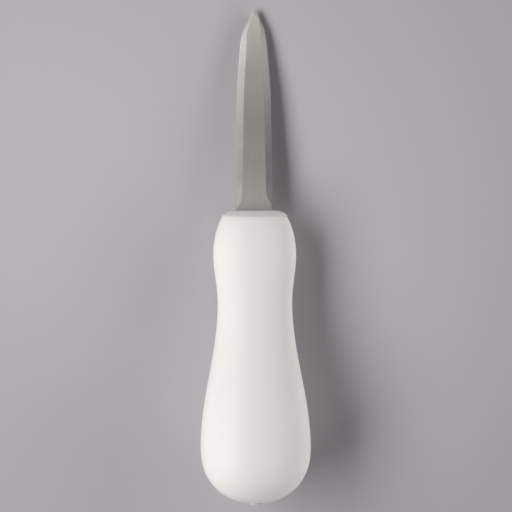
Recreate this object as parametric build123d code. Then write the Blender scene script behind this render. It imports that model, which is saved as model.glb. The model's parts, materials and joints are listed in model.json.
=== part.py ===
"""Oyster knife: a blunt, double-bevelled steel blade in a pear-shaped moulded plastic handle.

The knife is built along Y, tip towards +Y, with the middle of the handle's front face at the
origin and the blade's flats facing up and down. At the end it is tipped and lifted until it lies
on a table, +Z up, on the underside of the handle's head and of its butt, as it lies when it is
put down. Then the middle of its footprint is at the origin and the table is at Z = 0.

"Ahead" is a distance from the handle's front face towards the tip, "behind" is one towards the
butt. Width is across X and thickness is across Z, before the knife is tipped.
"""
from build123d import *
import math
import os

# Blade, ahead of the handle
blade_length = 76.2
root_width = 14.5
shank_width = 13.7
blade_width = 13.0
runout_length = 7.9
shank_length = 34.3
blade_thickness = 2.8
ridge_tip_thickness = 1.7
edge_thickness = 0.5
edge_break_width = 0.45
edge_break_thickness = 0.95

# Flat between the blade's two long ridges
flat_root_width = 9.0
flat_width = 7.7
flat_tip_setback = 1.9

# Spear point: how far along it each point lies, and how wide the outline and the flat are there
point_place_shares = (0.45, 0.674, 0.807, 0.918)
outline_width_shares = (0.860, 0.745, 0.566, 0.305)
flat_width_shares = (0.790, 0.630, 0.490, 0.310)

# Tang, hidden in the handle
tang_shoulder_depth = 5.0
tang_length = 72.0
tang_width = 9.5
tang_hole_diameter = 5.0
tang_hole_count = 3

# Handle, in stretches from its front face to its butt
collar_length = 2.5
head_length = 14.0
neck_length = 18.3
swell_length = 55.4
butt_length = 21.2
butt_roundness = 2.2
butt_flat_width = 11.2

# Handle widths and thicknesses where those stretches meet
front_width = 19.6
front_thickness = 13.0
collar_width = 25.4
collar_thickness = 18.5
head_width = 31.6
head_thickness = 23.5
neck_width = 28.4
neck_thickness = 22.6
butt_width = 41.9
butt_thickness = 39.4
collar_bulge_share = 0.9

# Two shots of the handle, and the rings that key them together
shell_wall = 4.0
shell_end_wall = 5.0
key_ring_count = 4
key_ring_width = 4.0
key_ring_depth = 1.2

# Plug that closes the hole left by the mould's locating pin
pin_hole_diameter = 3.6
plug_head_diameter = 5.0
plug_head_height = 1.1
plug_head_seat = 0.9
plug_head_round = 0.5
plug_stem_length = 12.0
plug_lead_in = 0.6

# Sections that the handle's skin is drawn through, in each stretch
collar_section_count = 3
head_section_count = 3
neck_section_count = 3
swell_section_count = 5
butt_section_count = 6

# Trials that settle the resting angle, and the places tried along the underside
rest_trial_count = 6
rest_place_count = 400

head_station = collar_length + head_length
neck_station = head_station + neck_length
butt_station = neck_station + swell_length
butt_end_share = (1 - (butt_flat_width / butt_width) ** butt_roundness) ** (1 / butt_roundness)
handle_length = butt_station + butt_length * butt_end_share
point_start = runout_length + shank_length


def spaced(start, end, count):
    """Places at equal steps from start to end, both included."""
    return [start + (end - start) * step / count for step in range(count + 1)]


def swell(behind, collar, head, neck, butt):
    """Half of the handle's size at a place behind its front face, from its sizes along the way."""
    if behind <= head_station:
        ahead_of_head = (head_station - behind) / head_length
        return (head - (head - collar) * ahead_of_head**2) / 2
    if behind <= neck_station:
        along = (behind - head_station) / neck_length
        return (head + (neck - head) * (1 - math.cos(math.pi * along)) / 2) / 2
    if behind <= butt_station:
        along = (behind - neck_station) / swell_length
        return (neck + (butt - neck) * (1 - math.cos(math.pi * along)) / 2) / 2
    along = min((behind - butt_station) / butt_length, butt_end_share)
    return butt / 2 * (1 - along**butt_roundness) ** (1 / butt_roundness)


def half_width(behind):
    """Half of the handle's width at a place behind its front face."""
    return swell(behind, collar_width, head_width, neck_width, butt_width)


def half_thickness(behind):
    """Half of the handle's thickness at a place behind its front face."""
    return swell(behind, collar_thickness, head_thickness, neck_thickness, butt_thickness)


def oval(behind, width_radius, thickness_radius):
    """An upright oval face across the knife at a place behind the handle's front face."""
    upper = EllipticalCenterArc((0, 0), width_radius, thickness_radius, 0, arc_size=180)
    lower = EllipticalCenterArc((0, 0), width_radius, thickness_radius, 180, arc_size=180)
    across = Plane(origin=(0, -behind, 0), x_dir=(1, 0, 0), z_dir=(0, -1, 0))
    return across * make_face([upper, lower])


def skin(places, inset=0.0):
    """A solid inside the handle's outer skin, drawn through ovals at the places given."""
    return loft([oval(place, half_width(place) - inset, half_thickness(place) - inset) for place in places])


def side_places(end):
    """Places from the collar's rear face to an end in the butt, closer together where it rounds off."""
    places = spaced(collar_length, head_station, head_section_count)
    places += spaced(head_station, neck_station, neck_section_count)[1:]
    places += spaced(neck_station, butt_station, swell_section_count)[1:]
    last_angle = math.asin((end - butt_station) / butt_length)
    angles = spaced(0, last_angle, butt_section_count)[1:]
    return places + [butt_station + butt_length * math.sin(angle) for angle in angles]


def collar():
    """The handle's nose: a short, slightly bulged chamfer from the front face to the collar's edge."""
    faces = []
    for share in spaced(0, 1, collar_section_count):
        bulged = share + collar_bulge_share * share * (1 - share)
        width = front_width + (collar_width - front_width) * bulged
        thickness = front_thickness + (collar_thickness - front_thickness) * share
        faces.append(oval(collar_length * share, width / 2, thickness / 2))
    return loft(faces)


def key_rings():
    """Rings round the core that the outer shell grips."""
    core_end = handle_length - shell_end_wall
    pitch = (core_end - collar_length) / (key_ring_count + 1)
    rings = []
    for number in range(1, key_ring_count + 1):
        place = collar_length + pitch * number
        floor_inset = shell_wall + key_ring_depth
        outside = oval(place, half_width(place), half_thickness(place))
        inside = oval(place, half_width(place) - floor_inset, half_thickness(place) - floor_inset)
        rings.append(extrude(outside - inside, key_ring_width / 2, both=True))
    return rings


def spear_outline(root, shank, middle, tip, width_shares, runout):
    """The edges of a spear shape, symmetrical about Y, from its root to its tip and back."""
    tip_reach = tip - point_start
    places = [point_start + tip_reach * share for share in point_place_shares]
    widths = [middle / 2 * share for share in width_shares]
    sides = []
    for side in (1, -1):
        shank_end = (side * middle / 2, point_start)
        shank_start = (side * shank / 2, runout_length)
        points = [shank_end] + [(side * width, place) for width, place in zip(widths, places)] + [(0, tip)]
        lean = (Vector(*shank_end) - Vector(*shank_start)).normalized()
        point = Spline(*points, tangents=[lean, (-side, 0)])
        if runout == "curved":
            flare = TangentArc(shank_start, (side * root / 2, 0), tangent=(0, -1))
        else:
            flare = Line(shank_start, (side * root / 2, 0))
        sides.append([flare, Line(shank_start, shank_end), point])
    right, left = sides
    return [Line((-root / 2, 0), (root / 2, 0))] + right + left[::-1]


def blade_half():
    """The upper half of the blade, from its middle plane to its flat."""
    outline = (root_width, shank_width, blade_width, blade_length, outline_width_shares, "straight")
    inset = 2 * edge_break_width
    broken = (
        root_width,
        shank_width - inset,
        blade_width - inset,
        blade_length - edge_break_width,
        outline_width_shares,
        "straight",
    )
    flat_length = blade_length - flat_tip_setback
    flat = (root_width, flat_root_width, flat_width, flat_length, flat_width_shares, "curved")
    fall = (blade_thickness - ridge_tip_thickness) / 2
    leaning = Plane(origin=(0, 0, blade_thickness / 2), x_dir=(1, 0, 0), z_dir=(0, fall, flat_length))
    sections = [
        make_face(spear_outline(*outline)),
        Pos(0, 0, edge_thickness / 2) * make_face(spear_outline(*outline)),
        Pos(0, 0, edge_break_thickness / 2) * make_face(spear_outline(*broken)),
        leaning * make_face(spear_outline(*flat)),
    ]
    return loft(sections, ruled=True)


def tang():
    """The blade's hidden tang: a full-width shoulder, then a narrower bar with keying holes."""
    shoulder = Pos(0, -tang_shoulder_depth / 2) * Rectangle(root_width, tang_shoulder_depth)
    bar_length = tang_length - tang_width / 2
    bar = Pos(0, -bar_length / 2) * Rectangle(tang_width, bar_length)
    end = Pos(0, -bar_length) * Circle(tang_width / 2)
    outline = shoulder + bar + end
    pitch = (bar_length - tang_shoulder_depth) / (tang_hole_count + 1)
    for number in range(1, tang_hole_count + 1):
        outline -= Pos(0, -tang_shoulder_depth - pitch * number) * Circle(tang_hole_diameter / 2)
    return extrude(outline, blade_thickness / 2, both=True)


def blade():
    """Blade and tang, one piece of steel."""
    upper = blade_half()
    return upper + mirror(upper, about=Plane.XY) + tang()


def pin_hole():
    """The hole from the tang's end out through the butt, with a wider seat for the plug's head."""
    behind_tang = Pos(0, -tang_length, 0) * Rot(X=90)
    hole = behind_tang * extrude(Circle(pin_hole_diameter / 2), handle_length - tang_length)
    at_butt = Pos(0, -handle_length, 0) * Rot(X=90)
    return hole + at_butt * extrude(Circle(plug_head_diameter / 2), -plug_head_seat)


def butt_plug():
    """The plug: a stem in the pin hole and a low rounded head let into the butt's flat end."""
    stem = pin_hole_diameter / 2
    head = plug_head_diameter / 2
    top_edge = (head - plug_head_round, plug_head_height)
    side_edge = (head, plug_head_height - plug_head_round)
    outline = Polyline(
        top_edge,
        (0, plug_head_height),
        (0, -plug_stem_length),
        (stem - plug_lead_in, -plug_stem_length),
        (stem, plug_lead_in - plug_stem_length),
        (stem, -plug_head_seat),
        (head, -plug_head_seat),
        side_edge,
    )
    profile = make_face([outline, RadiusArc(top_edge, side_edge, plug_head_round)])
    upright = revolve(Plane.XZ * profile, Axis.Z)
    return Pos(0, -handle_length, 0) * Rot(X=90) * upright


def resting_angle():
    """Angle, in degrees, between the knife and a table that its head and butt both touch."""
    angle = 0.0
    for _ in range(rest_trial_count):
        contacts = []
        for start, end in ((collar_length, neck_station), (neck_station, handle_length)):
            places = spaced(start, end, rest_place_count)
            reach = [half_thickness(place) * math.cos(angle) - place * math.sin(angle) for place in places]
            contacts.append(places[reach.index(max(reach))])
        head_contact, butt_contact = contacts
        rise = half_thickness(butt_contact) - half_thickness(head_contact)
        angle = math.atan2(rise, butt_contact - head_contact)
    return math.degrees(angle)


steel = blade()
hole = pin_hole()
core_body = skin(side_places(handle_length - shell_end_wall), shell_wall)
for ring in key_rings():
    core_body -= ring
handle_core = collar() + core_body - steel - hole
handle_shell = skin(side_places(handle_length)) - core_body - steel - hole

pieces = {
    "blade": steel,
    "handle_core": handle_core,
    "handle_shell": handle_shell,
    "butt_plug": butt_plug(),
}

tipped = {name: Rot(X=-resting_angle()) * piece for name, piece in pieces.items()}
boxes = [piece.bounding_box() for piece in tipped.values()]
back = min(box.min.Y for box in boxes)
front = max(box.max.Y for box in boxes)
table = min(box.min.Z for box in boxes)
os.makedirs("parts", exist_ok=True)
for name, piece in tipped.items():
    export_step(Pos(0, -(back + front) / 2, -table) * piece, f"parts/{name}.step")
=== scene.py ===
"""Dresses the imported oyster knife: camera, table, light, finishes and the small forms of its surface.

The knife lies tipped on the table. Its forms and finishes are laid out along the knife itself:
"ahead" is towards the tip, "across" is to the right, and "up" is out of the blade's upper side,
square to both. Lengths are in metres.
"""

import json
import math

import bmesh
import bpy
from mathutils import Matrix, Vector

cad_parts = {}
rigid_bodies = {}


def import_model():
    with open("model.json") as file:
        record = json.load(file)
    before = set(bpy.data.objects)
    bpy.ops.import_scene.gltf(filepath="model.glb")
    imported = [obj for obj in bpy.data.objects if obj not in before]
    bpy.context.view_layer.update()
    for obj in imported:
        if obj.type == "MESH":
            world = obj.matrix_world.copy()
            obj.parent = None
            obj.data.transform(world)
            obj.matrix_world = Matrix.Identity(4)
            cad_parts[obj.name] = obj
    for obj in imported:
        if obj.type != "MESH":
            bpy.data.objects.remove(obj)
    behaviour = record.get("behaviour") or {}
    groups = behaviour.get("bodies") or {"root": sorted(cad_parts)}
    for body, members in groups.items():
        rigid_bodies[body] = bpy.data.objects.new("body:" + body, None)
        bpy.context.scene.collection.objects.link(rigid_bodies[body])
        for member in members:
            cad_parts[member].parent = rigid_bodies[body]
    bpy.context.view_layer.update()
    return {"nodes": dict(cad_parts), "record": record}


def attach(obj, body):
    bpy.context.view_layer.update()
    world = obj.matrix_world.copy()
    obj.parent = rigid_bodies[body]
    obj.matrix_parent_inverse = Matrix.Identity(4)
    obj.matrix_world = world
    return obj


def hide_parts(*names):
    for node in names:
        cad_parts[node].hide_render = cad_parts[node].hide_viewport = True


# Camera: how far off it is and how far it sees, how much the picture spans at the knife, and how far
# the picture's middle lies behind the handle's front face and to its right
camera_distance = 1.2
camera_sight = 10
picture_width = 0.1951
sensor_width = 36.0
view_centre_behind = 0.0172
view_centre_across = 0.0005
camera_roll = math.radians(-0.3)

# Lamps: each a soft rectangle this far off, at a turn from across towards ahead and at an elevation,
# as wide and as high as these angles, in degrees. A level of 1 lights what faces it as white.
lamp_distance = 1.0
lamps = {
    "key softbox": {
        "turn": 178, "elevation": 42.5, "width": 70, "height": 28, "level": 1.31, "mirrored": True,
    },
    "right-hand card": {
        "turn": 12, "elevation": 14, "width": 75, "height": 26, "level": 0.79, "mirrored": False,
    },
    "right-hand strip": {
        "turn": 10, "elevation": 27, "width": 50, "height": 16, "level": 0.08, "mirrored": True,
    },
    "front card": {
        "turn": 280, "elevation": 10, "width": 60, "height": 18, "level": 0.2, "mirrored": False,
    },
}
room_level = 0.45
room_colour = (0.985, 0.98, 1.0)

# Table: its tone falls along one line and away from the knife, a painted falloff of the lamps' light, and
# a painted shade lies beside the blade
table_size = 6.0
table_roughness = 0.9
table_gloss = 0.1
painted_falloff_pale_tone = (0.531, 0.512, 0.533)
painted_falloff_dark_tone = (0.474, 0.4565, 0.4825)
painted_falloff_turn = math.radians(41)
painted_falloff_reach = 0.12
# Painted light falloff: the table's tone is a little raised near the knife and dims away from it
painted_falloff_from_aim = {"From Min": 0.05, "From Max": 0.16, "To Min": 1.015, "To Max": 0.885}
# Painted shade: the table is darker in a narrow strip beside the blade
painted_shade_beside_blade = {"From Min": 0.002, "From Max": 0.014, "To Min": 0.88, "To Max": 1.0}
painted_shade_place = 0.006
painted_shade_narrowing = 0.1

# Steel: its tone at shares of the blade's length, from the handle to the tip, a painted reflection that
# follows how bright the steel looks there; its tint, the way its grinding lines run, and its roughness
# from its most to its least polished patches
blade_length = 0.0762
flat_painted_reflection = {0.0: 0.395, 0.25: 0.32, 0.45: 0.3, 0.75: 0.39, 1.0: 0.54}
bevel_painted_reflection = {0.0: 0.415, 0.15: 0.325, 0.28: 0.305, 0.45: 0.36, 0.6: 0.435, 0.8: 0.52, 1.0: 0.54}
flat_steel = {"tones": flat_painted_reflection, "tint": (1.0, 0.95, 0.885), "turn": 0.0, "roughness": (0.66, 0.74)}
bevel_steel = {
    "tones": bevel_painted_reflection, "tint": (1.0, 0.965, 0.935), "turn": math.radians(90), "roughness": (0.72, 0.8),
}
polish_scale = 90.0
line_size = {"Fineness": 5200.0, "Length": 110.0}
line_sheen = {"To Min": 0.85, "To Max": 1.15}
line_bump = {"Strength": 0.25, "Distance": 0.00003}

# Plastics: colour, roughness from the most to the least handled patches, and how strongly grain shows
shell_plastic = {"colour": (0.838, 0.821, 0.796), "roughness": (0.5, 0.6), "grain": 0.15}
collar_plastic = {"colour": (0.71, 0.7, 0.682), "roughness": (0.45, 0.55), "grain": 0.1}
# The plug's colour is greyer than the shell's, a painted shade that makes its end look as dim as a shaded
# face
plug_plastic_painted_shade = {"colour": (0.61, 0.6, 0.59), "roughness": (0.45, 0.55), "grain": 0.1}
colour_patches = {"Scale": 35.0, "Low": 0.985, "High": 1.01}
handling_scale = 140.0
grain_scale = 2600.0
grain_height = 0.00004
parting_bump = {"Strength": 0.6, "Distance": 0.00006}

# Blade: where it turns more sharply than this it has a ridge, and faces this level are its flats
ridge_angle = math.radians(12)
flat_least_up = 0.995

# The ridges move outward by these shares of their distance from the middle, at places ahead of the
# handle. Points nearer to the middle plane than the foot stay, and those a rise beyond it move fully.
runout_widening = {0.0008: 0.0, 0.0023: 0.12, 0.0034: 0.1, 0.006: 0.0}
tip_widening = {0.06: 0.0, 0.065: 0.12, 0.0695: 0.6, 0.0725: 0.6, 0.075: 0.35}
widening_foot = 0.0005
widening_rise = 0.0004

# The tip leans to the right, and over this reach the blade behind it follows less and less
tip_lean = 0.00055
tip_length = 0.0015
tip_lean_reach = 0.012

# Handle: where its collar meets its shell, half the size there, and how much and how far back the
# surface is drawn in towards that seam; and half the size and the rounding of its front edge
handle_angle = math.radians(30)
collar_length = 0.0025
collar_half_size = (0.0127, 0.00925)
seam_drop = 0.021
seam_reach = 0.0022
seam_rings = 5
front_half_size = (0.0098, 0.0065)
front_round = 0.00035
front_round_segments = 3

# Points this share of the way out or more belong to the skin, and points this close are in one place
outer_share = 0.85
same_place = 0.00002
doubled_place = 0.000001

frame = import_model()
nodes = frame["nodes"]


def select_none():
    """Deselects everything, so that the next operator acts only on what it is given."""
    for thing in bpy.context.view_layer.objects:
        thing.select_set(False)


def knife_frame(record):
    """The middle of the handle's front face, and the knife's across, ahead and up directions."""
    mounts = {mount["name"]: mount for mount in record["mounts"]}
    ahead = Vector(mounts["handle_front_face"]["axis"]).normalized()
    upper = Vector(mounts["blade_flat_upper"]["pos_m"])
    lower = Vector(mounts["blade_flat_lower"]["pos_m"])
    on_axis = (upper + lower) / 2
    front = on_axis + ahead * ahead.dot(Vector(mounts["handle_front_face"]["pos_m"]) - on_axis)
    across = ahead.cross(Vector((0, 0, 1))).normalized()
    return front, across, ahead, across.cross(ahead)


front_face, across, ahead, up = knife_frame(frame["record"])
to_knife = Matrix((across, ahead, up))
knife_tilt = to_knife.to_euler()
knife_shift = -(to_knife @ front_face)


def new_node(tree, kind, values=None, **settings):
    """Adds a node to a tree, with its sockets' values by name and its settings."""
    node = tree.nodes.new(kind)
    for name, value in settings.items():
        setattr(node, name, value)
    for name, value in (values or {}).items():
        node.inputs[name].default_value = value
    return node


def new_group(name, inputs, outputs):
    """A shader node group with named sockets, and its first and last nodes."""
    group = bpy.data.node_groups.new(name, "ShaderNodeTree")
    for socket, (kind, value) in inputs.items():
        made = group.interface.new_socket(name=socket, in_out="INPUT", socket_type=kind)
        if value is not None:
            made.default_value = value
    for socket, kind in outputs.items():
        group.interface.new_socket(name=socket, in_out="OUTPUT", socket_type=kind)
    return group, group.nodes.new("NodeGroupInput"), group.nodes.new("NodeGroupOutput")


def grinding_lines():
    """Fine lines of uneven depth along the vector's Y, as a belt leaves them on steel."""
    inputs = {
        "Vector": ("NodeSocketVector", None),
        "Fineness": ("NodeSocketFloat", 9000.0),
        "Length": ("NodeSocketFloat", 60.0),
    }
    outputs = {"Depth": "NodeSocketFloat", "Sheen": "NodeSocketFloat"}
    group, start, end = new_group("grinding lines", inputs, outputs)
    link = group.links.new
    stretch = new_node(group, "ShaderNodeCombineXYZ")
    link(start.outputs["Fineness"], stretch.inputs["X"])
    link(start.outputs["Length"], stretch.inputs["Y"])
    link(start.outputs["Length"], stretch.inputs["Z"])
    stretched = new_node(group, "ShaderNodeVectorMath", operation="MULTIPLY")
    link(start.outputs["Vector"], stretched.inputs[0])
    link(stretch.outputs["Vector"], stretched.inputs[1])
    fine = new_node(group, "ShaderNodeTexNoise", {"Scale": 1.0, "Detail": 4.0, "Roughness": 0.7})
    link(stretched.outputs["Vector"], fine.inputs["Vector"])
    broad = new_node(group, "ShaderNodeTexNoise", {"Scale": 0.23, "Detail": 2.0, "Roughness": 0.5})
    link(stretched.outputs["Vector"], broad.inputs["Vector"])
    both = new_node(group, "ShaderNodeMix", {"Factor": 0.4})
    link(fine.outputs["Fac"], both.inputs["A"])
    link(broad.outputs["Fac"], both.inputs["B"])
    link(fine.outputs["Fac"], end.inputs["Depth"])
    link(both.outputs["Result"], end.inputs["Sheen"])
    return group


def soft_patches():
    """Slow, cloudy change over a surface, between a low and a high value."""
    inputs = {
        "Vector": ("NodeSocketVector", None),
        "Scale": ("NodeSocketFloat", 60.0),
        "Low": ("NodeSocketFloat", 0.0),
        "High": ("NodeSocketFloat", 1.0),
    }
    group, start, end = new_group("soft patches", inputs, {"Value": "NodeSocketFloat"})
    link = group.links.new
    cloud = new_node(group, "ShaderNodeTexNoise", {"Detail": 3.0, "Roughness": 0.55})
    link(start.outputs["Vector"], cloud.inputs["Vector"])
    link(start.outputs["Scale"], cloud.inputs["Scale"])
    spread = new_node(group, "ShaderNodeMapRange", {"From Min": 0.3, "From Max": 0.7})
    link(cloud.outputs["Fac"], spread.inputs["Value"])
    link(start.outputs["Low"], spread.inputs["To Min"])
    link(start.outputs["High"], spread.inputs["To Max"])
    link(spread.outputs["Result"], end.inputs["Value"])
    return group


def mould_grain():
    """The faint, fine pebbling that a spark-finished mould leaves on plastic."""
    inputs = {"Vector": ("NodeSocketVector", None), "Scale": ("NodeSocketFloat", grain_scale)}
    group, start, end = new_group("mould grain", inputs, {"Height": "NodeSocketFloat"})
    link = group.links.new
    pebbles = new_node(group, "ShaderNodeTexVoronoi", feature="SMOOTH_F1")
    link(start.outputs["Vector"], pebbles.inputs["Vector"])
    link(start.outputs["Scale"], pebbles.inputs["Scale"])
    haze = new_node(group, "ShaderNodeTexNoise", {"Detail": 3.0})
    link(start.outputs["Vector"], haze.inputs["Vector"])
    link(start.outputs["Scale"], haze.inputs["Scale"])
    mixed = new_node(group, "ShaderNodeMath", operation="ADD")
    link(pebbles.outputs["Distance"], mixed.inputs[0])
    link(haze.outputs["Fac"], mixed.inputs[1])
    link(mixed.outputs["Value"], end.inputs["Height"])
    return group


def parting_line():
    """The hairline that a mould's two halves leave along both sides of what they form."""
    inputs = {"Vector": ("NodeSocketVector", None), "Width": ("NodeSocketFloat", 0.00015)}
    group, start, end = new_group("parting line", inputs, {"Height": "NodeSocketFloat"})
    link = group.links.new
    apart = new_node(group, "ShaderNodeSeparateXYZ")
    link(start.outputs["Vector"], apart.inputs["Vector"])
    away = new_node(group, "ShaderNodeMath", operation="ABSOLUTE")
    link(apart.outputs["Z"], away.inputs[0])
    ridge = {"From Min": 0.0, "To Min": 1.0, "To Max": 0.0}
    rise = new_node(group, "ShaderNodeMapRange", ridge, interpolation_type="SMOOTHSTEP")
    link(away.outputs["Value"], rise.inputs["Value"])
    link(start.outputs["Width"], rise.inputs["From Max"])
    link(rise.outputs["Result"], end.inputs["Height"])
    return group


lines_group = grinding_lines()
patches_group = soft_patches()
grain_group = mould_grain()
parting_group = parting_line()


def place_group(tree, group, vector, values):
    """Places a node group in a material, on a vector and with its own values."""
    node = new_node(tree, "ShaderNodeGroup", node_tree=group)
    for name, value in values.items():
        node.inputs[name].default_value = value
    tree.links.new(vector.outputs["Vector"], node.inputs["Vector"])
    return node


def place_patches(tree, vector, scale, low_and_high):
    """Places soft patches of one scale in a material, between a low and a high value."""
    low, high = low_and_high
    return place_group(tree, patches_group, vector, {"Scale": scale, "Low": low, "High": high})


def new_material(name):
    """A material, its tree and its shader."""
    material = bpy.data.materials.new(name)
    material.use_nodes = True
    tree = material.node_tree
    return material, tree, next(node for node in tree.nodes if node.type == "BSDF_PRINCIPLED")


def place_along_knife(tree):
    """A vector that runs along the knife, from the middle of the handle's front face."""
    place = new_node(tree, "ShaderNodeTexCoord")
    along = new_node(tree, "ShaderNodeMapping", {"Location": knife_shift, "Rotation": knife_tilt})
    tree.links.new(place.outputs["Object"], along.inputs["Vector"])
    return along


def blade_steel(name, steel):
    """Satin ground steel, its tone changing along the blade as a painted reflection, with lines that run
    as they were cut.
    """
    material, tree, shader = new_material(name)
    along = place_along_knife(tree)
    link = tree.links.new
    shader.inputs["Metallic"].default_value = 1.0
    turned = new_node(tree, "ShaderNodeMapping", {"Rotation": (0, 0, steel["turn"])})
    link(along.outputs["Vector"], turned.inputs["Vector"])
    lines = place_group(tree, lines_group, turned, line_size)
    apart = new_node(tree, "ShaderNodeSeparateXYZ")
    link(along.outputs["Vector"], apart.inputs["Vector"])
    reach = new_node(tree, "ShaderNodeMapRange", {"From Min": 0.0, "From Max": blade_length})
    link(apart.outputs["Y"], reach.inputs["Value"])
    # Painted reflection: the tone ramp along the blade sets how bright the steel looks at each place
    tones = new_node(tree, "ShaderNodeValToRGB")
    ramp = tones.color_ramp
    for position in list(steel["tones"])[1:-1]:
        ramp.elements.new(position)
    for element, (position, tone) in zip(ramp.elements, steel["tones"].items()):
        element.position = position
        element.color = [tone * share for share in steel["tint"]] + [1]
    link(reach.outputs["Result"], tones.inputs["Fac"])
    sheen = new_node(tree, "ShaderNodeMapRange", line_sheen)
    link(lines.outputs["Sheen"], sheen.inputs["Value"])
    shaded = new_node(tree, "ShaderNodeVectorMath", operation="SCALE")
    link(tones.outputs["Color"], shaded.inputs["Vector"])
    link(sheen.outputs["Result"], shaded.inputs["Scale"])
    link(shaded.outputs["Vector"], shader.inputs["Base Color"])
    polish = place_patches(tree, along, polish_scale, steel["roughness"])
    link(polish.outputs["Value"], shader.inputs["Roughness"])
    bump = new_node(tree, "ShaderNodeBump", line_bump)
    link(lines.outputs["Depth"], bump.inputs["Height"])
    link(bump.outputs["Normal"], shader.inputs["Normal"])
    return material


def moulded_plastic(name, plastic):
    """Moulded plastic with a fine grain, a soft sheen, a parting line and faint handling marks."""
    material, tree, shader = new_material(name)
    along = place_along_knife(tree)
    link = tree.links.new
    tint = place_group(tree, patches_group, along, colour_patches)
    shaded = new_node(tree, "ShaderNodeVectorMath", {"Vector": plastic["colour"]}, operation="SCALE")
    link(tint.outputs["Value"], shaded.inputs["Scale"])
    link(shaded.outputs["Vector"], shader.inputs["Base Color"])
    handling = place_patches(tree, along, handling_scale, plastic["roughness"])
    link(handling.outputs["Value"], shader.inputs["Roughness"])
    grain = place_group(tree, grain_group, along, {"Scale": grain_scale})
    grain_bump = {"Strength": plastic["grain"], "Distance": grain_height}
    pebbled = new_node(tree, "ShaderNodeBump", grain_bump)
    link(grain.outputs["Height"], pebbled.inputs["Height"])
    parting = place_group(tree, parting_group, along, {})
    parted = new_node(tree, "ShaderNodeBump", parting_bump)
    link(parting.outputs["Height"], parted.inputs["Height"])
    link(pebbled.outputs["Normal"], parted.inputs["Normal"])
    link(parted.outputs["Normal"], shader.inputs["Normal"])
    return material


def table_finish(aim):
    """Smooth matt table, with painted light: darker to one side and away from the knife as a painted
    falloff, and a painted shade beside the blade.
    """
    material, tree, shader = new_material("matt table")
    link = tree.links.new
    shader.inputs["Roughness"].default_value = table_roughness
    shader.inputs["Specular IOR Level"].default_value = table_gloss
    place = new_node(tree, "ShaderNodeTexCoord")
    centred = new_node(tree, "ShaderNodeVectorMath", operation="SUBTRACT")
    link(place.outputs["Object"], centred.inputs[0])
    centred.inputs[1].default_value = (aim.x, aim.y, 0)
    turned = new_node(tree, "ShaderNodeMapping", {"Rotation": (0, 0, painted_falloff_turn)})
    link(centred.outputs["Vector"], turned.inputs["Vector"])
    apart = new_node(tree, "ShaderNodeSeparateXYZ")
    link(turned.outputs["Vector"], apart.inputs["Vector"])
    # Painted light falloff: the table is paler on one side and darker on the other
    fall = new_node(tree, "ShaderNodeMapRange", {"From Min": -painted_falloff_reach, "From Max": painted_falloff_reach})
    link(apart.outputs["X"], fall.inputs["Value"])
    tones = new_node(tree, "ShaderNodeValToRGB")
    tones.color_ramp.elements[0].color = (*painted_falloff_pale_tone, 1)
    tones.color_ramp.elements[1].color = (*painted_falloff_dark_tone, 1)
    link(fall.outputs["Result"], tones.inputs["Fac"])
    # Painted falloff: the table dims away from the knife
    reach = new_node(tree, "ShaderNodeVectorMath", operation="LENGTH")
    link(centred.outputs["Vector"], reach.inputs[0])
    dimmed = new_node(tree, "ShaderNodeMapRange", painted_falloff_from_aim, interpolation_type="SMOOTHSTEP")
    link(reach.outputs["Value"], dimmed.inputs["Value"])
    # Painted shade: a darker narrow strip beside the blade
    narrowed = {"Location": (painted_shade_place, 0, 0), "Scale": (1, painted_shade_narrowing, 1)}
    beside = new_node(tree, "ShaderNodeMapping", narrowed)
    link(centred.outputs["Vector"], beside.inputs["Vector"])
    aside = new_node(tree, "ShaderNodeVectorMath", operation="LENGTH")
    link(beside.outputs["Vector"], aside.inputs[0])
    painted_shade_strip = new_node(tree, "ShaderNodeMapRange", painted_shade_beside_blade, interpolation_type="SMOOTHSTEP")
    link(aside.outputs["Value"], painted_shade_strip.inputs["Value"])
    both = new_node(tree, "ShaderNodeMath", operation="MULTIPLY")
    link(dimmed.outputs["Result"], both.inputs[0])
    link(painted_shade_strip.outputs["Result"], both.inputs[1])
    shaded = new_node(tree, "ShaderNodeVectorMath", operation="SCALE")
    link(tones.outputs["Color"], shaded.inputs["Vector"])
    link(both.outputs["Value"], shaded.inputs["Scale"])
    link(shaded.outputs["Vector"], shader.inputs["Base Color"])
    return material


def copy_of_node(name, piece_name):
    """A merged copy of a CAD node's mesh as a new piece."""
    mesh = nodes[name].data.copy()
    piece = bpy.data.objects.new(piece_name, mesh)
    bpy.context.scene.collection.objects.link(piece)
    shape = bmesh.new()
    shape.from_mesh(mesh)
    bmesh.ops.remove_doubles(shape, verts=shape.verts, dist=doubled_place)
    shape.to_mesh(mesh)
    shape.free()
    mesh.materials.clear()
    return piece


def finish_piece(piece, replaced):
    """Makes a piece ride with the knife and stand for a CAD node."""
    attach(piece, "root")
    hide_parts(replaced)


def place_on_knife(point):
    """A point's place across, ahead and up from the middle of the handle's front face."""
    return to_knife @ (point - front_face)


def out_share(place, half_size):
    """How far out a place is from the knife's axis, where 1 is an oval of half this size."""
    return math.hypot(place.x / half_size[0], place.z / half_size[1])


def start_shaping(piece):
    """Opens a piece for shaping, with the CAD's own shading taken off it."""
    select_none()
    piece.select_set(True)
    bpy.context.view_layer.objects.active = piece
    bpy.ops.object.mode_set(mode="EDIT")
    bpy.ops.mesh.select_all(action="SELECT")
    bpy.ops.mesh.customdata_custom_splitnormals_clear()


def finish_shaping(angle):
    """Closes the active piece, smooth except where its surface turns more sharply than an angle."""
    bpy.ops.object.mode_set(mode="OBJECT")
    bpy.ops.object.shade_smooth_by_angle(angle=angle)


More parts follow.
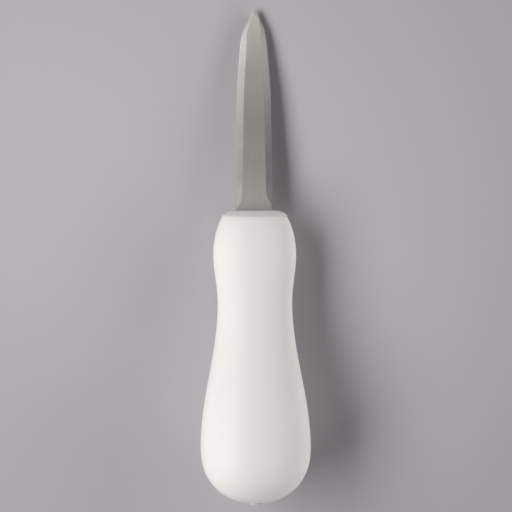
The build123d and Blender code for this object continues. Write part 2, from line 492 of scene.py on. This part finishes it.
def select_points(piece, wanted):
    """Selects, in edit mode, the points of a piece whose place on the knife is wanted."""
    bpy.ops.mesh.select_all(action="DESELECT")
    shape = bmesh.from_edit_mesh(piece.data)
    for vertex in shape.verts:
        vertex.select_set(wanted(place_on_knife(vertex.co)))
    shape.select_flush(True)
    bmesh.update_edit_mesh(piece.data)


def on_front_edge(place):
    """Whether a place is on the edge of the handle's front face."""
    return abs(place.y) < same_place and out_share(place, front_half_size) > outer_share


def at_tip(place):
    """Whether a place is at the blade's very tip."""
    return place.y > blade_length - tip_length


def draw_in(piece):
    """Draws a piece's outer points in: most at the seam, and less and less behind it."""
    shape = bmesh.from_edit_mesh(piece.data)
    for vertex in shape.verts:
        place = place_on_knife(vertex.co)
        behind_seam = -place.y - collar_length
        near_seam = -same_place < behind_seam < seam_reach
        if near_seam and out_share(place, collar_half_size) > outer_share:
            drop = seam_drop * (1 - behind_seam / seam_reach) ** 2
            vertex.co -= (across * place.x + up * place.z) * drop
    bmesh.update_edit_mesh(piece.data)


def make_shell():
    """The white shell, drawn in to the collar where it meets it."""
    shell = copy_of_node("handle_shell", "moulded_shell")
    start_shaping(shell)
    for number in range(1, seam_rings):
        behind = collar_length + seam_reach * number / seam_rings
        bpy.ops.mesh.select_all(action="SELECT")
        bpy.ops.mesh.bisect(plane_co=front_face - ahead * behind, plane_no=ahead)
    draw_in(shell)
    finish_shaping(handle_angle)
    shell.data.materials.append(moulded_plastic("white handle plastic", shell_plastic))
    finish_piece(shell, "handle_shell")


def make_collar():
    """The first shot, whose collar has a soft front edge and is drawn in with the shell."""
    core = copy_of_node("handle_core", "moulded_core")
    start_shaping(core)
    draw_in(core)
    select_points(core, on_front_edge)
    bpy.ops.mesh.bevel(offset=front_round, segments=front_round_segments)
    finish_shaping(handle_angle)
    core.data.materials.append(moulded_plastic("collar plastic", collar_plastic))
    finish_piece(core, "handle_core")


def between(stops, place):
    """The value at a place between the nearest two of some stops, or the end value beyond them."""
    places = list(stops)
    if place <= places[0]:
        return stops[places[0]]
    for low, high in zip(places, places[1:]):
        if place <= high:
            return stops[low] + (stops[high] - stops[low]) * (place - low) / (high - low)
    return stops[places[-1]]


def widen_flats(blade):
    """Moves the ridges outward near the tip, and at the right-hand run-out beside the handle."""
    shape = bmesh.from_edit_mesh(blade.data)
    for vertex in shape.verts:
        place = place_on_knife(vertex.co)
        risen = min(1, max(0, (abs(place.z) - widening_foot) / widening_rise))
        widening = between(tip_widening, place.y)
        if place.x > 0:
            widening += between(runout_widening, place.y)
        vertex.co += across * place.x * widening * risen
    bmesh.update_edit_mesh(blade.data)


def make_blade():
    """The blade, its flats widened and its tip leaning a little, shaded evenly face by face."""
    blade = copy_of_node("blade", "ground_blade")
    start_shaping(blade)
    widen_flats(blade)
    select_points(blade, at_tip)
    bpy.ops.transform.translate(
        value=across * tip_lean,
        use_proportional_edit=True,
        proportional_edit_falloff="SMOOTH",
        proportional_size=tip_lean_reach,
    )
    finish_shaping(ridge_angle)
    evened = blade.modifiers.new("evened shading", "WEIGHTED_NORMAL")
    evened.keep_sharp = True
    bpy.ops.object.modifier_apply(modifier=evened.name)
    blade.data.materials.append(blade_steel("flat of the blade", flat_steel))
    blade.data.materials.append(blade_steel("bevels of the blade", bevel_steel))
    for face in blade.data.polygons:
        face.material_index = 0 if abs(face.normal.dot(up)) > flat_least_up else 1
    finish_piece(blade, "blade")


def finish_plug():
    """Gives the plug, which is the CAD's own, its finished plastic, whose grey is a painted shade."""
    plastic = moulded_plastic("plug plastic", plug_plastic_painted_shade)
    for slot in nodes["butt_plug"].material_slots:
        slot.material = plastic


def make_camera():
    """Looks square down on the knife, the tip at the top of the picture."""
    data = bpy.data.cameras.new("camera")
    camera = bpy.data.objects.new("camera", data)
    bpy.context.scene.collection.objects.link(camera)
    bpy.context.scene.camera = camera
    data.sensor_fit = "HORIZONTAL"
    data.sensor_width = sensor_width
    data.lens = sensor_width * camera_distance / picture_width
    data.clip_end = camera_sight
    aim = front_face - ahead * view_centre_behind + across * view_centre_across
    rolled = Matrix.Rotation(camera_roll, 3, up)
    turn = Matrix((rolled @ across, rolled @ ahead, up)).transposed().to_4x4()
    camera.matrix_world = Matrix.Translation(aim + up * camera_distance) @ turn
    return aim


def make_lamps(aim):
    """Soft rectangular lamps round the knife, out of the camera's sight."""
    for name, lamp in lamps.items():
        turn = math.radians(lamp["turn"])
        elevation = math.radians(lamp["elevation"])
        sideways = math.cos(elevation)
        towards = Vector((sideways * math.cos(turn), sideways * math.sin(turn), math.sin(elevation)))
        data = bpy.data.lights.new(name, "AREA")
        data.shape = "RECTANGLE"
        data.size = 2 * lamp_distance * math.tan(math.radians(lamp["width"] / 2))
        data.size_y = 2 * lamp_distance * math.tan(math.radians(lamp["height"] / 2))
        data.energy = lamp["level"] * (math.pi * lamp_distance) ** 2
        body = bpy.data.objects.new(name, data)
        body.location = aim + towards * lamp_distance
        body.rotation_euler = towards.to_track_quat("Z", "Y").to_euler()
        body.visible_camera = False
        body.visible_glossy = lamp["mirrored"]
        bpy.context.scene.collection.objects.link(body)


def make_room():
    """A grey room that is seen and mirrored, but lights nothing: the lamps do."""
    world = bpy.data.worlds.new("room")
    world.use_nodes = True
    tree = world.node_tree
    background = next(node for node in tree.nodes if node.type == "BACKGROUND")
    background.inputs["Color"].default_value = (*room_colour, 1)
    ray = new_node(tree, "ShaderNodeLightPath")
    seen = new_node(tree, "ShaderNodeMath", operation="MAXIMUM")
    tree.links.new(ray.outputs["Is Camera Ray"], seen.inputs[0])
    tree.links.new(ray.outputs["Is Glossy Ray"], seen.inputs[1])
    strength = new_node(tree, "ShaderNodeMath", operation="MULTIPLY")
    tree.links.new(seen.outputs["Value"], strength.inputs[0])
    strength.inputs[1].default_value = room_level
    tree.links.new(strength.outputs["Value"], background.inputs["Strength"])
    bpy.context.scene.world = world


def make_table(aim):
    """The table under the knife."""
    select_none()
    bpy.ops.mesh.primitive_plane_add(size=table_size, location=(0, 0, 0))
    table = bpy.context.active_object
    table.name = "table"
    table.data.materials.append(table_finish(aim))


view_aim = make_camera()
make_table(view_aim)
make_lamps(view_aim)
make_room()
make_blade()
make_shell()
make_collar()
finish_plug()

bpy.context.scene.view_settings.view_transform = "Standard"
